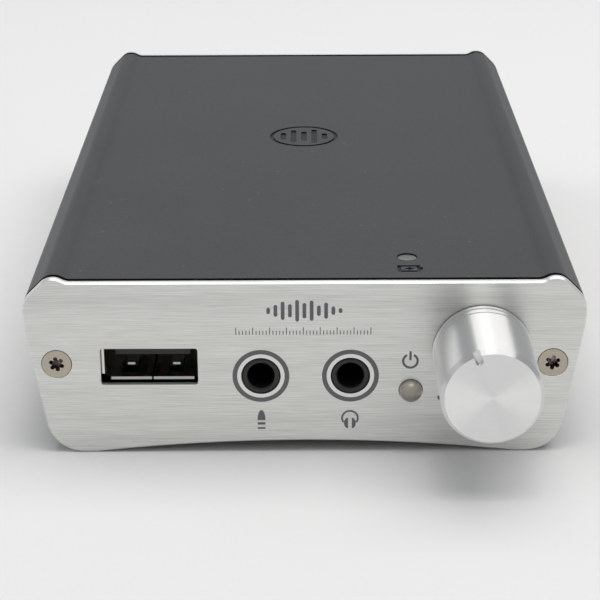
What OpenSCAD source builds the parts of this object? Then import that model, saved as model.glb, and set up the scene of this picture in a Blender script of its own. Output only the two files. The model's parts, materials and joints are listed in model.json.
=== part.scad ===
// Portable headphone amplifier with its own digital converter. An extruded aluminium sleeve is closed by
// two end plates, the circuit board slides into grooves in its sides, and the battery lies on a tray.
// +X is to the right seen from the front, +Y runs from the front plate to the rear plate, +Z is up.
// The origin is on the standing surface, under the middle of the whole object with its knob and levers.
// Depths are measured from the face of the front plate towards the rear.

/* [Case] */
// Width across the widest part of the sleeve
case_w = 75; // [74:0.5:77]
// Height of the flat deck above the standing surface
deck_z = 24.9; // [24.6:0.1:25.4]
// Height of the corner beads above the deck
bead_h = 0.62; // [0.5:0.02:0.7]
// Radius of the top of each corner bead
bead_r = 2.3; // [2.1:0.1:2.5]
// Distance from the middle to the top of each bead
bead_x = 33.25; // [33:0.05:33.4]
// Radius of the shoulder outside each bead
shoulder_r = 3.45; // [3.2:0.05:3.7]
// Radius of the gentle curve between shoulder and side
flank_r = 19.3; // [15:0.1:24]
// Inward slope of the sides towards the bottom, in degrees
side_slope = 9.25; // [8:0.25:10]
// Radius of the bottom corners
foot_r = 5; // [4.6:0.1:5.4]
// Height of the hollow under the middle of the case
arch_h = 1.65; // [1.3:0.05:1.7]
// Radius of the hollow under the case
arch_r = 247; // [235:1:250]
// Thickness of the sleeve's wall
wall = 1.6; // [1.4:0.1:1.7]
// Depth at which the sleeve ends
sleeve_end = 118; // [116:0.5:122]
// Small bevel on the sleeve's end edges
sleeve_bevel = 0.1; // [0.05:0.01:0.15]

/* [End plates] */
// Thickness of each end plate
plate_t = 0.75; // [0.7:0.05:1]
// Bevel round the face of each end plate
plate_bevel = 0.22; // [0.15:0.01:0.3]
// Thickness of the black gasket under each end plate
gasket_t = 0.95; // [0.6:0.05:1]
// How far the gasket stays inside the outline
gasket_inset = 0.06; // [0.04:0.02:0.3]
// Distance from the middle to each end screw
screw_x = 33.29; // [33.1:0.01:33.4]
// Height of the end screws
screw_z = 13.2; // [12.8:0.1:13.6]
// Radius of a screw's head
screw_head_r = 1.98; // [1.9:0.01:2.1]
// Radius of a screw's shank
screw_r = 1.2; // [1.1:0.05:1.25]
// Length of a screw
screw_len = 9; // [8:0.5:12]

/* [Volume control] */
// Place of the volume shaft across the front
knob_x = 23.73; // [23.5:0.01:24]
// Height of the volume shaft
knob_z = 14.95; // [14.7:0.05:15.1]
// Distance from the front plate to the knob's face
knob_reach = 14.9; // [14:0.1:16]
// Radius of the knob's base ring
knob_base_r = 6.67; // [6.6:0.01:6.8]
// Radius of the knob's grip
knob_r = 6.6; // [6.5:0.01:6.65]
// Radius of the knob's flat face
knob_face_r = 6.11; // [5.9:0.01:6.2]
// Width of the index slot
slot_w = 1; // [0.8:0.05:1.2]
// Depth of the index slot
slot_t = 0.75; // [0.5:0.05:1]
// Where the index slot points at rest, in degrees to the left of the top
slot_turn = 20; // [0:1:40]
// Radius of the volume shaft
shaft_r = 3; // [2.9:0.05:3]
// Clearance between the shaft and its bushing
shaft_gap = 0.05; // [0.03:0.01:0.08]

/* [Front sockets] */
// Height of both headphone-size sockets
jack_z = 11.36; // [11.2:0.02:11.5]
// Place of the line output socket
line_x = -5.88; // [-6.1:0.01:-5.7]
// Place of the headphone socket
phones_x = 6.16; // [6:0.01:6.4]
// Radius of the black collar round each socket
collar_r = 2.6; // [2.5:0.05:2.7]
// Radius of the bore that takes the plug
jack_bore_r = 1.8; // [1.78:0.01:1.85]
// Depth at which the bore that takes the plug ends
jack_bore_end = 14; // [13:0.5:15]
// Left edge of the USB opening
usb_left = -27.43; // [-27.6:0.01:-27.3]
// Width of the USB opening
usb_w = 13.1; // [12.9:0.05:13.3]
// Bottom edge of the USB opening
usb_low = 10.14; // [10:0.01:10.3]
// Height of the USB opening
usb_h = 5.29; // [5.2:0.01:5.4]
// Thickness of the USB shell's sheet metal
usb_sheet = 0.35; // [0.3:0.01:0.4]
// Place of the power light across the front
light_x = 14.31; // [14.2:0.01:14.5]
// Height of the power light
light_z = 9.19; // [9.1:0.01:9.3]
// Radius of the power light's dome
light_r = 1.57; // [1.45:0.01:1.6]

/* [Deck] */
// Place of the charging light across the deck
charge_x = 14.04; // [13.8:0.01:14.3]
// Depth of the charging light behind the front face
charge_y = 9.35; // [9.2:0.01:10.3]
// Radius of the charging light's hole
charge_r = 1.4; // [1.35:0.01:1.5]
// Depth of the engraving in the deck
engrave_t = 0.2; // [0.1:0.01:0.3]
// Depth of the engraved mark's middle behind the front face
mark_y = 65.5; // [60:0.5:70]
// Radius of the engraved mark
mark_r = 5.6; // [5:0.1:7]

/* [Circuit board] */
// Height of the underside of the board
board_z = 6.8; // [6.7:0.05:6.9]
// Thickness of the board
board_t = 1.6; // [1.5:0.05:1.6]
// Half of the board's width
board_half = 33.5; // [33.3:0.05:33.6]

/* [Battery] */
// Width of the battery pack
cell_w = 48; // [40:1:50]
// Length of the battery pack
cell_len = 58; // [50:1:60]
// Thickness of the battery pack
cell_h = 9.3; // [8:0.1:9.5]
// Depth at which the battery pack begins
cell_y = 31; // [29:0.5:33]

/* [Rear sockets and switches] */
// Place of the charging inlet across the rear
inlet_x = -24.5; // [-25:0.1:-24]
// Height of the charging inlet
inlet_z = 13.4; // [13:0.1:14]
// Radius of the charging inlet's bore
inlet_bore_r = 2.9; // [2.8:0.05:3]
// Place of the optical output across the rear
optic_x = -9; // [-10:0.5:-8]
// Height of the optical output
optic_z = 13.7; // [13.6:0.1:14]
// Width of the slide switches
switch_w = 9.2; // [9:0.1:9.4]
// Height of the middle of the switch levers
lever_z = 10.6; // [10.4:0.1:10.8]
// Width of a switch lever
lever_w = 1.6; // [1.4:0.1:1.8]
// How far the levers stand out of the rear plate
lever_out = 1.2; // [0.8:0.1:1.6]
// Travel of a switch from one position to the next
switch_step = 2; // [1.6:0.1:2.2]

/* [Hidden] */
$fn = 64;

// The cross-section's arcs
bead_c = [bead_x, deck_z + bead_h - bead_r];
shoulder_c = [case_w / 2 - shoulder_r,
              bead_c.x + bead_c.y - (case_w / 2 - shoulder_r) + sqrt(2) * (bead_r - shoulder_r)];
flank_c = [case_w / 2 - flank_r, shoulder_c.y];
flank_reach = flank_c.x * cos(side_slope) - flank_c.y * sin(side_slope) + flank_r;
foot_c = [(flank_reach - foot_r + foot_r * sin(side_slope)) / cos(side_slope), foot_r];
arch_c = [0, arch_h - arch_r];
// The hollow curve that leads from the deck up to a bead
valley_r = 2.09;
valley_turn = acos((valley_r + bead_r - bead_h) / (valley_r + bead_r));
valley_c = [bead_c.x - (valley_r + bead_r) * sin(valley_turn), deck_z + valley_r];

// Depths of the stacked parts
sleeve_start = plate_t + gasket_t;
rear_plate_start = sleeve_end + gasket_t;
rear_face = rear_plate_start + plate_t;
front_y = knob_reach - (knob_reach + rear_face + lever_out) / 2;
board_top = board_z + board_t;
boss_r = 2.6;
boss_bore_r = screw_r + 0.06;
screw_head_t = plate_t - 0.12;
recess_t = 1.2;
roof_z = deck_z - wall;

// Volume control
knob_gap = 0.3;
knob_hollow_r = 5.65;
knob_hollow_end = 3.6;
insert_r = 4.4;
insert_end = 12.4;
shaft_end = 11.6;
flat_start = 4.6;
flat_x = 1.5;
pot_front = 2.2;
pot_back = 8.6;
pot_half_w = 5;
track_t = 0.8;
bushing_r = 3.5;
bushing_out = 2.7;
nut_flats_r = 4.8;
slot_run = 0.75;

// USB socket
usb_mouth = 1.3;
usb_depth = 15.4;
usb_slot_x = usb_left + usb_w / 2;
usb_mid_x = usb_slot_x + 0.22;
usb_in_w = 12.5;
usb_in_low = usb_low + 0.08;
usb_in_h = 5.12;
usb_tongue_w = 10.2;
usb_tongue_t = 1.7;
usb_tongue_gap = 0.75;
usb_tongue_front = 4;
usb_lip_start = usb_mouth + 1.05;
usb_lip_relief = 0.6;
usb_flare = 0.3;
usb_flare_end = usb_mouth + 2.2;
usb_flare_low = usb_in_low + 1;
usb_window_start = usb_mouth + 2.65;
usb_window_end = usb_mouth + 8.5;
usb_window_w = 1.9;
usb_window_x = 3.1;

// Round sockets
jack_front = plate_t + 0.4;
jack_half_w = 3.3;
jack_strip_x = 2.75;
jack_mouth_r = 1.98;
jack_mouth_end = 0.9;

// Lights
led_flange_back = 4.4;
led_dome_back = -0.15;
lens_drop = 0.22;

// Battery and its tray
tray_z = 12;
tray_t = 1;
cell_z = tray_z + tray_t + 0.3;
lead_xs = [-13.2, -11.2];
lead_start = cell_y + cell_len;
lead_bend = 2.2;
lead_z = 17.5;
plug_top = board_top + 5.4;

// Rear parts
inlet_nose_r = 3.9;
optic_w = 9.4;
port_w = 7.4;
port_h = 6.8;
gain_x = 5.5;
filter_x = 15.6;
mode_x = 25.7;
lever_h = 1.4;
switch_h = 4.4;
switch_back = rear_plate_start - 0.3;
switch_front = switch_back - 8;
rear_part_back = rear_plate_start - 0.2;
rear_part_front = rear_plate_start - 13;
port_blind = rear_plate_start - 9;
port_flush = rear_face - 0.05;
shutter_pin_z = optic_z + port_h / 2 - 0.5;
shutter_pin_y = rear_face - 1.55;
shutter_t = 0.6;
spring_front = shutter_pin_y - 3.6;

// Points of an arc round c, from one angle to another
function arc(c, r, from, to, steps) =
    [for (i = [0:steps]) let (a = from + (to - from) * i / steps) c + r * [cos(a), sin(a)]];

function rest_of(points) = [for (i = [1:len(points) - 1]) points[i]];

// Right half of the cross-section, from the deck round the outside to the middle of the underside
function half_outline(inset) =
    let (arch_turn = acos((arch_r + inset - arch_h) / (arch_r + inset)))
    concat(
        arc(valley_c, valley_r + inset, 270, 270 + valley_turn, 6),
        arc(bead_c, bead_r - inset, 90 + valley_turn, 45, 12),
        arc(shoulder_c, shoulder_r - inset, 45, 0, 9),
        rest_of(arc(flank_c, flank_r - inset, 0, -side_slope, 4)),
        arc(foot_c, foot_r - inset, -side_slope, -90, 10),
        arc(arch_c, arch_r + inset, 90 - arch_turn, 90, 10)
    );

// The whole cross-section as [x, z] points, moved inward by inset
function outline(inset) =
    let (right = half_outline(inset))
    concat(right, [for (i = [len(right) - 2:-1:0]) [-right[i].x, right[i].y]]);

// Puts parts drawn by their depth behind the front face into the object's own frame
module in_case() translate([0, front_y, 0]) children();

// Box between two opposite corners
module block(low, high) translate(low) cube(high - low);

// A flat shape in X and Z made solid between two depths
module slab(from, to) translate([0, to, 0]) rotate([90, 0, 0]) linear_extrude(to - from) children();

// Round bar along Y
module rod(x, z, r, from, to) translate([x, from, z]) rotate([-90, 0, 0]) cylinder(r = r, h = to - from);

// Cone along Y, from radius r1 to radius r2
module taper(x, z, r1, r2, from, to)
    translate([x, from, z]) rotate([-90, 0, 0]) cylinder(r1 = r1, r2 = r2, h = to - from);

// Upright post
module post(x, y, r, low, high) translate([x, y, low]) cylinder(r = r, h = high - low);

// Closed ring round the case, swept through the [depth, inset] corners of its own cross-section
module case_ring(corners) {
    n = len(outline(0));
    m = len(corners);
    polyhedron(
        points = [for (c = corners) for (p = outline(c[1])) [p.x, c[0], p.y]],
        faces = [for (k = [0:m - 1]) for (i = [0:n - 1]) let (j = (i + 1) % n, l = (k + 1) % m)
            [k * n + i, l * n + i, l * n + j, k * n + j]]
    );
}

// Ring that bevels the edge of a face at depth face; dir is 1 where the material lies behind it, else -1
module bevel_cutter(face, dir, size) {
    over = 0.3;
    inner = [face - dir * over, size + over];
    back = [face + dir * (size + over), -over];
    outer = [face - dir * over, -over];
    case_ring(dir > 0 ? [back, inner, outer] : [outer, inner, back]);
}

// Rectangle with round corners in X and Z
module round_slot(x, z, w, h, r, from, to) {
    slab(from, to) translate([x - w / 2 + r, z - h / 2]) square([w - 2 * r, h]);
    slab(from, to) translate([x - w / 2, z - h / 2 + r]) square([w, h - 2 * r]);
    for (sx = [-1, 1], sz = [-1, 1])
        rod(x + sx * (w / 2 - r), z + sz * (h / 2 - r), r, from, to);
}

// ---- Case ----

module board_rails() {
    for (side = [-1, 1], low = [board_z - 1.1, board_top + 0.1])
        block([side > 0 ? 32.4 : -34.6, sleeve_start + 0.3, low],
              [side > 0 ? 34.6 : -32.4, sleeve_end - 0.3, low + 1]);
}

// Ring with five bars of different height, cut into the deck
module deck_mark() {
    bar_w = 0.9;
    bar_half = [1.4, 2.9, 2.1, 3.3, 1.1];
    translate([0, mark_y, deck_z - engrave_t]) {
        difference() {
            cylinder(r = mark_r, h = 1);
            translate([0, 0, -1]) cylinder(r = mark_r - 0.6, h = 3);
        }
        for (i = [0:4]) translate([(i - 2) * 1.7, 0, 0]) {
            translate([-bar_w / 2, -bar_half[i], 0]) cube([bar_w, 2 * bar_half[i], 1]);
            for (end = [-1, 1]) translate([0, end * bar_half[i], 0]) cylinder(r = bar_w / 2, h = 1);
        }
    }
}

// Small battery outline with its terminal and a charging bolt, cut into the deck
module battery_mark() {
    line = 0.46;
    back_line = 0.5;
    w = 3.05;
    h = 2.4;
    translate([charge_x - w / 2, 3.7, deck_z - engrave_t]) {
        difference() {
            cube([w, h, 1]);
            translate([back_line, line, -1]) cube([w - back_line - line, h - 2 * line, 3]);
        }
        translate([w - 0.01, h / 2 - 0.5, 0]) cube([0.36, 1, 1]);
        linear_extrude(1)
            polygon([[0.7, 0.88], [1.85, 1.84], [1.78, 1.36], [2.5, 1.5], [1.45, 0.56], [1.5, 1.02]]);
    }
}

module case_sleeve() color("#525456") in_case() difference() {
    union() {
        difference() {
            slab(sleeve_start, sleeve_end) polygon(outline(0));
            slab(sleeve_start - 1, sleeve_end + 1) polygon(outline(wall));
            bevel_cutter(sleeve_start, 1, sleeve_bevel);
            bevel_cutter(sleeve_end, -1, sleeve_bevel);
        }
        board_rails();
        for (side = [-1, 1]) rod(side * screw_x, screw_z, boss_r, sleeve_start, sleeve_end);
    }
    for (side = [-1, 1]) rod(side * screw_x, screw_z, boss_bore_r, sleeve_start - 1, sleeve_end + 1);
    post(charge_x, charge_y, charge_r, roof_z - 1, deck_z + 1);
    deck_mark();
    battery_mark();
}

// End plate with a bevel round its outer face and two countersunk screw holes
module end_plate_blank(face, dir) {
    back = face + dir * plate_t;
    difference() {
        slab(min(face, back), max(face, back)) polygon(outline(0));
        bevel_cutter(face, dir, plate_bevel);
        for (side = [-1, 1]) {
            rod(side * screw_x, screw_z, screw_r + 0.15, min(face, back) - 1, max(face, back) + 1);
            countersink(side, face, dir);
        }
    }
}

module countersink(side, face, dir) {
    wide = screw_head_r + 0.12;
    deep = plate_t - 0.05;
    if (dir > 0) taper(side * screw_x, screw_z, wide, screw_r + 0.1, face - 0.001, face + deep);
    else taper(side * screw_x, screw_z, screw_r + 0.1, wide, face - deep, face + 0.001);
}

module front_panel() color("#babbb5") in_case() difference() {
    end_plate_blank(0, 1);
    for (x = [line_x, phones_x]) rod(x, jack_z, collar_r + 0.06, -1, plate_t + 1);
    rod(light_x, light_z, light_r + 0.07, -1, plate_t + 1);
    rod(knob_x, knob_z, bushing_r + 0.1, -1, plate_t + 1);
    round_slot(usb_slot_x, usb_low + usb_h / 2, usb_w, usb_h, 0.4, -1, plate_t + 1);
}

module rear_panel() color("#babbb5") in_case() difference() {
    end_plate_blank(rear_face, -1);
    rod(inlet_x, inlet_z, inlet_nose_r + 0.12, rear_plate_start - 1, rear_face + 1);
    round_slot(optic_x, optic_z, optic_w + 0.24, optic_w + 0.24, 0.5, rear_plate_start - 1, rear_face + 1);
    round_slot(gain_x + switch_step / 2, lever_z, lever_w + switch_step + 0.6, lever_h + 0.6, 0.4,
               rear_plate_start - 1, rear_face + 1);
    for (x = [filter_x, mode_x])
        round_slot(x, lever_z, lever_w + 2 * switch_step + 0.6, lever_h + 0.6, 0.4,
                   rear_plate_start - 1, rear_face + 1);
}

module gasket(from, to) difference() {
    union() {
        difference() {
            slab(from, to) polygon(outline(gasket_inset));
            slab(from - 1, to + 1) polygon(outline(wall));
        }
        for (side = [-1, 1]) rod(side * screw_x, screw_z, boss_r, from, to);
    }
    for (side = [-1, 1]) rod(side * screw_x, screw_z, boss_bore_r, from - 1, to + 1);
}

module front_gasket() color("#101011") in_case() gasket(plate_t, sleeve_start);

module rear_gasket() color("#101011") in_case() gasket(sleeve_end, rear_plate_start);

// Six-lobed recess of a screw's head, turned about its middle
module screw_recess(turn) {
    circle(r = 0.66, $fn = 24);
    for (i = [0:5]) rotate(turn + 60 * i) translate([0.76, 0]) circle(r = 0.29, $fn = 16);
}

// Countersunk screw, its head at depth face and its shank towards dir
module end_screw(x, face, dir, turn) {
    tip = face + dir * screw_len;
    difference() {
        union() {
            if (dir > 0) taper(x, screw_z, screw_head_r, screw_r, face, face + screw_head_t);
            else taper(x, screw_z, screw_r, screw_head_r, face - screw_head_t, face);
            rod(x, screw_z, screw_r, min(face + dir * 0.4, tip), max(face + dir * 0.4, tip));
        }
        slab(face - recess_t, face + recess_t) translate([x, screw_z]) screw_recess(turn);
    }
}

module front_screws() color("#aaa091") in_case() {
    end_screw(-screw_x, 0.02, 1, 40);
    end_screw(screw_x, 0.02, 1, 25);
}

module rear_screws() color("#aaa091") in_case() {
    end_screw(-screw_x, rear_face - 0.02, -1, 10);
    end_screw(screw_x, rear_face - 0.02, -1, 50);
}

// ---- Volume control: the knob turns the shaft and the wiper inside the potentiometer ----

// Parts drawn round the shaft, with +Z pointing out of the front and +Y up
module on_shaft() in_case() translate([knob_x, 0, knob_z]) rotate([90, 0, 0]) children();

module volume_knob() color("#d2d3d3") on_shaft() difference() {
    rotate_extrude($fn = 128) polygon([
        [0, knob_hollow_end], [knob_hollow_r, knob_hollow_end], [knob_hollow_r, knob_gap],
        [knob_base_r - 0.1, knob_gap], [knob_base_r, knob_gap + 0.1], [knob_base_r, knob_gap + 0.74],
        [knob_r - 0.3, knob_gap + 0.8], [knob_r - 0.3, knob_gap + 0.96], [knob_r, knob_gap + 1.04],
        [knob_r, knob_gap + 1.92], [knob_r - 0.34, knob_gap + 1.98], [knob_r - 0.34, knob_gap + 2.2],
        [knob_r, knob_gap + 2.28], [knob_r, knob_reach - 0.6], [knob_face_r, knob_reach], [0, knob_reach]
    ]);
    translate([0, 0, knob_hollow_end - 1]) cylinder(r = insert_r, h = insert_end - knob_hollow_end + 1);
    rotate([0, 0, 90 + slot_turn]) {
        translate([knob_face_r - slot_run, -slot_w / 2, knob_reach - slot_t]) cube([3, slot_w, slot_t + 1]);
        translate([knob_face_r - slot_run, 0, knob_reach - slot_t])
            cylinder(r = slot_w / 2, h = slot_t + 1, $fn = 32);
    }
}

// Shaft's cross-section with its flat, larger than the shaft by gap
module shaft_section(gap) difference() {
    circle(r = shaft_r + gap);
    rotate(90 + slot_turn) translate([flat_x + gap, -5]) square([5, 10]);
}

module knob_insert() color("#26282b") on_shaft() difference() {
    translate([0, 0, knob_hollow_end]) cylinder(r = insert_r, h = insert_end - knob_hollow_end);
    translate([0, 0, knob_hollow_end - 1]) linear_extrude(shaft_end + 1 - knob_hollow_end + 0.3)
        shaft_section(0.02);
}

module pot_shaft() color("#c9c6bd") on_shaft() {
    translate([0, 0, -pot_front - 3.4]) cylinder(r = shaft_r, h = pot_front + 3.4 + flat_start);
    translate([0, 0, flat_start]) linear_extrude(shaft_end - flat_start) shaft_section(0);
}

module pot_wiper() color("#c79b3b") on_shaft() {
    disc_top = -pot_front - 3.4;
    translate([0, 0, disc_top - 0.8]) cylinder(r = 3.9, h = 0.8);
    rotate([0, 0, 90 + slot_turn]) for (r = [2.2, 3.3])
        translate([r - 0.25, -0.9, disc_top - 1.5]) cube([0.5, 1.8, 0.71]);
}

module pot_bushing() color("#b6b4ac") on_shaft() difference() {
    translate([0, 0, -pot_front - 1.6]) cylinder(r = bushing_r, h = pot_front + 1.6 + bushing_out);
    translate([0, 0, -pot_front - 3]) cylinder(r = shaft_r + shaft_gap, h = 20);
}

module pot_washer() color("#b6b4ac") on_shaft() difference() {
    cylinder(r = 5.2, h = 0.4);
    translate([0, 0, -1]) cylinder(r = bushing_r + 0.03, h = 3);
}

module pot_nut() color("#b6b4ac") on_shaft() difference() {
    translate([0, 0, 0.4]) cylinder(r = nut_flats_r / cos(30), h = 2, $fn = 6);
    translate([0, 0, -1]) cylinder(r = bushing_r + 0.03, h = 5);
}

module pot_housing() color("#8f9294") in_case() difference() {
    block([knob_x - pot_half_w, pot_front, board_top], [knob_x + pot_half_w, pot_back, knob_z + pot_half_w]);
    rod(knob_x, knob_z, bushing_r, pot_front - 1, pot_front + 1.6);
    rod(knob_x, knob_z, shaft_r + 0.2, pot_front - 1, pot_front + 4);
    rod(knob_x, knob_z, 4.3, pot_front + 2.9, pot_back + 1);
}

module pot_track_plate() color("#6b4a2a") in_case()
    block([knob_x - pot_half_w, pot_back, board_top + 1.6],
          [knob_x + pot_half_w, pot_back + track_t, knob_z + pot_half_w]);

module pot_pins() color("#c9c6bd") in_case() for (i = [-1:1])
    translate([knob_x + i * 2.5 - 0.4, pot_back, board_top]) cube([0.8, 0.5, 1.6]);

module power_switch_block() color("#2b2d30") in_case() difference() {
    block([knob_x - pot_half_w, pot_back + track_t, board_top],
          [knob_x + pot_half_w, pot_back + track_t + 4.4, knob_z + 4]);
    for (side = [-1, 1])
        block([knob_x + side * 3 - 0.6, pot_back + track_t + 3.4, board_top + 3],
              [knob_x + side * 3 + 0.6, pot_back + track_t + 5, board_top + 5]);
}

// ---- Front sockets ----

// Strip that bends out of a window in the shell's sheet into the opening, drawn as [y, z] on the floor
module usb_finger() {
    rise = 0.85;
    low_rise = 0.58;
    crest = usb_window_start + 1.4;
    rotate([90, 0, 90]) {
        linear_extrude(1, center = true) polygon([
            [usb_window_end - 0.1, 0], [crest + 0.7, rise], [crest, rise], [crest - 0.12, low_rise],
            [crest + 0.2, low_rise - 0.1], [crest + 0.8, low_rise - 0.1]
        ]);
        linear_extrude(usb_window_w - 0.2, center = true) polygon([
            [usb_window_end + 0.1, -usb_sheet], [usb_window_end + 0.1, 0], [crest + 0.8, low_rise],
            [crest, low_rise], [crest + 0.35, 0.05], [crest + 0.7, 0.05], [crest + 0.6, low_rise - 0.25]
        ]);
    }
}

module usb_shell() color("#b9b9b6") in_case() {
    usb_case();
    for (side = [-1, 1]) usb_side_lip(side);
    for (side = [-1, 1]) translate([usb_mid_x + side * usb_window_x, 0, usb_in_low]) usb_finger();
}

// Front of a side wall, folded outward at the mouth
module usb_side_lip(side) translate([usb_mid_x, 0, usb_flare_low]) {
    inner = usb_in_w / 2;
    outer = inner + usb_sheet;
    reach = outer + usb_flare;
    linear_extrude(usb_in_low + usb_in_h - usb_flare_low + 0.01) polygon([
        [side * inner, usb_flare_end + 0.01], [side * inner, usb_mouth + 0.15],
        [side * (inner + 0.12), usb_mouth], [side * reach, usb_mouth],
        [side * reach, usb_mouth + usb_sheet], [side * outer, usb_mouth + usb_sheet + 0.2],
        [side * outer, usb_flare_end + 0.01]
    ]);
}

// Folded sheet-metal tube with a seam along its floor and two windows in the floor and in the roof
module usb_case() difference() {
    x0 = usb_mid_x - usb_in_w / 2;
    x1 = usb_mid_x + usb_in_w / 2;
    z1 = usb_in_low + usb_in_h;
    union() {
        block([x0 - usb_sheet, usb_mouth, usb_in_low - usb_sheet],
              [x1 + usb_sheet, usb_depth, z1 + usb_sheet]);
        for (x = [x0 - usb_sheet, x1]) block([x, 8, board_top], [x + usb_sheet, 10.6, usb_in_low]);
    }
    block([x0, usb_mouth - 1, usb_in_low], [x1, usb_depth - usb_sheet, z1]);
    block([x0, usb_mouth - 1, usb_in_low - 1], [x1, usb_lip_start, usb_in_low + 0.01]);
    for (x = [x0 - 1, x1]) block([x, usb_mouth - 1, usb_in_low - 1], [x + 1, usb_flare_end, z1]);
    // Slanted front edge of the floor, with relieved corners
    translate([usb_mid_x, usb_lip_start, usb_in_low]) rotate([90, 0, 90]) linear_extrude(usb_in_w, center = true)
        polygon([[-0.01, -usb_sheet], [0.15, 0.01], [-0.01, 0.01]]);
    for (x = [x0, x1 - usb_lip_relief])
        block([x, usb_mouth, usb_in_low - 1], [x + usb_lip_relief, usb_lip_start + 0.8, usb_in_low + 0.01]);
    block([usb_mid_x - 0.12, usb_mouth, usb_in_low - 1],
          [usb_mid_x + 0.12, usb_depth - 4, usb_in_low + 0.01]);
    for (side = [-1, 1], z = [usb_in_low - 1, z1 - 0.01])
        translate([usb_mid_x + side * usb_window_x - usb_window_w / 2, usb_window_start, z])
            cube([usb_window_w, usb_window_end - usb_window_start, 1.01]);
}

// Plastic tongue on its block, with four grooves for the contacts
module usb_tongue() color("#2f3237") in_case() {
    top = usb_in_low + usb_in_h - usb_tongue_gap;
    difference() {
        union() {
            block([usb_mid_x - usb_in_w / 2, usb_depth - 3, usb_in_low],
                  [usb_mid_x + usb_in_w / 2, usb_depth - usb_sheet, usb_in_low + usb_in_h]);
            block([usb_mid_x - usb_tongue_w / 2, usb_tongue_front, top - usb_tongue_t],
                  [usb_mid_x + usb_tongue_w / 2, usb_depth - 3, top]);
        }
        for (x = [-3.5, -1, 1, 3.5])
            block([usb_mid_x + x - 0.6, usb_tongue_front + 0.5, top - usb_tongue_t - 1],
                  [usb_mid_x + x + 0.6, usb_depth - 3, top - usb_tongue_t + 0.3]);
    }
}

module usb_contacts() color("#c9a24a") in_case() {
    face = usb_in_low + usb_in_h - usb_tongue_gap - usb_tongue_t;
    for (x = [-3.5, -1, 1, 3.5])
        block([usb_mid_x + x - 0.5, usb_tongue_front + 0.6, face],
              [usb_mid_x + x + 0.5, usb_depth - 3, face + 0.3]);
}

// Round collar with a rounded lip, drawn as [radius, depth]
module jack_collar() rotate_extrude() polygon([
    [0, 0.02], [collar_r - 0.3, 0.02], [collar_r - 0.14, 0.09], [collar_r - 0.04, 0.22], [collar_r, 0.4],
    [collar_r, jack_front + 0.5], [0, jack_front + 0.5]
]);

// Bore for the plug with its flared mouth, drawn as [radius, depth]
module jack_bore() rotate_extrude() polygon([
    [0, -1], [jack_mouth_r + 0.1, -1], [jack_mouth_r + 0.1, 0.02], [jack_mouth_r, 0.06],
    [jack_mouth_r - 0.11, 0.14], [jack_bore_r + 0.03, 0.28], [jack_bore_r, jack_mouth_end],
    [jack_bore_r, jack_bore_end], [0, jack_bore_end]
]);

module jack_body(x) difference() {
    union() {
        translate([x, 0, jack_z]) rotate([-90, 0, 0]) jack_collar();
        block([x - jack_half_w, jack_front, board_top], [x + jack_half_w, jack_bore_end + 1.2, jack_z + 3]);
    }
    translate([x, 0, jack_z]) rotate([-90, 0, 0]) jack_bore();
    for (side = [-1, 1])
        block([x + side * jack_strip_x - 0.25, jack_front + 3, board_top - 1],
              [x + side * jack_strip_x + 0.25, jack_bore_end - 1, jack_z + 1]);
}

// Contact strips in the side pockets of a socket
module jack_contacts(x) for (side = [-1, 1])
    block([x + side * jack_strip_x - 0.15, jack_front + 3.3, board_top],
          [x + side * jack_strip_x + 0.15, jack_bore_end - 1.3, jack_z + 0.8]);

module line_jack_body() color("#17181a") in_case() jack_body(line_x);

module headphone_jack_body() color("#17181a") in_case() jack_body(phones_x);

module line_jack_contacts() color("#c9a24a") in_case() jack_contacts(line_x);

module headphone_jack_contacts() color("#c9a24a") in_case() jack_contacts(phones_x);

// ---- Lights ----

module power_led() color("#989388") in_case() {
    rod(light_x, light_z, light_r, led_dome_back, led_flange_back);
    difference() {
        translate([light_x, led_dome_back, light_z]) sphere(r = light_r);
        block([light_x - 3, led_dome_back, light_z - 3], [light_x + 3, 3, light_z + 3]);
    }
    rod(light_x, light_z, 1.95, led_flange_back - 1, led_flange_back);
}

module power_led_leads() color("#b6b4ac") in_case() for (side = [-1, 1]) {
    block([light_x + side * 1.27 - 0.25, led_flange_back, light_z - 0.25],
          [light_x + side * 1.27 + 0.25, led_flange_back + 2.2, light_z + 0.25]);
    block([light_x + side * 1.27 - 0.25, led_flange_back + 1.7, board_top],
          [light_x + side * 1.27 + 0.25, led_flange_back + 2.2, light_z]);
}

module charge_led() color("#e9e6d8") in_case()
    block([charge_x - 0.8, charge_y - 0.45, board_top], [charge_x + 0.8, charge_y + 0.45, board_top + 0.8]);

module charge_light_pipe() color("#d8dadb") in_case() {
    post(charge_x, charge_y, charge_r - 0.08, board_top + 1, deck_z - lens_drop);
    post(charge_x, charge_y, 2.2, roof_z - 0.6, roof_z);
}

// ---- Circuit board and what is soldered to it ----

module main_board() color("#1f5a38") in_case() difference() {
    block([-board_half, 1.9, board_z], [board_half, rear_plate_start - 0.5, board_top]);
    block([light_x - 2.4, 1, board_z - 1], [light_x + 2.4, led_flange_back + 0.6, board_top + 1]);
}

// Flat chip package with rows of leads on two sides
module chip(x, y, w, len, pins) {
    block([x - w / 2, y - len / 2, board_top + 0.15], [x + w / 2, y + len / 2, board_top + 1.6]);
    for (side = [-1, 1], i = [0:pins - 1]) {
        py = y - len / 2 + (i + 0.5) * len / pins;
        block([x + side * (w / 2 + 0.35) - 0.35, py - 0.15, board_top],
              [x + side * (w / 2 + 0.35) + 0.35, py + 0.15, board_top + 0.6]);
    }
}

module converter_chip() color("#1d1e20") in_case() chip(-8, 82, 5.3, 10.2, 14);

module usb_controller_chip() color("#1d1e20") in_case() chip(-19, 48, 7, 7, 12);

module amplifier_chips() color("#1d1e20") in_case() for (y = [36, 46, 56]) chip(14, y, 3.9, 4.9, 4);

module can_capacitor(x, y, r, h) {
    block([x - r, y - r, board_top], [x + r, y + r, board_top + 0.9]);
    post(x, y, r - 0.15, board_top + 0.9, board_top + h);
}

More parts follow.
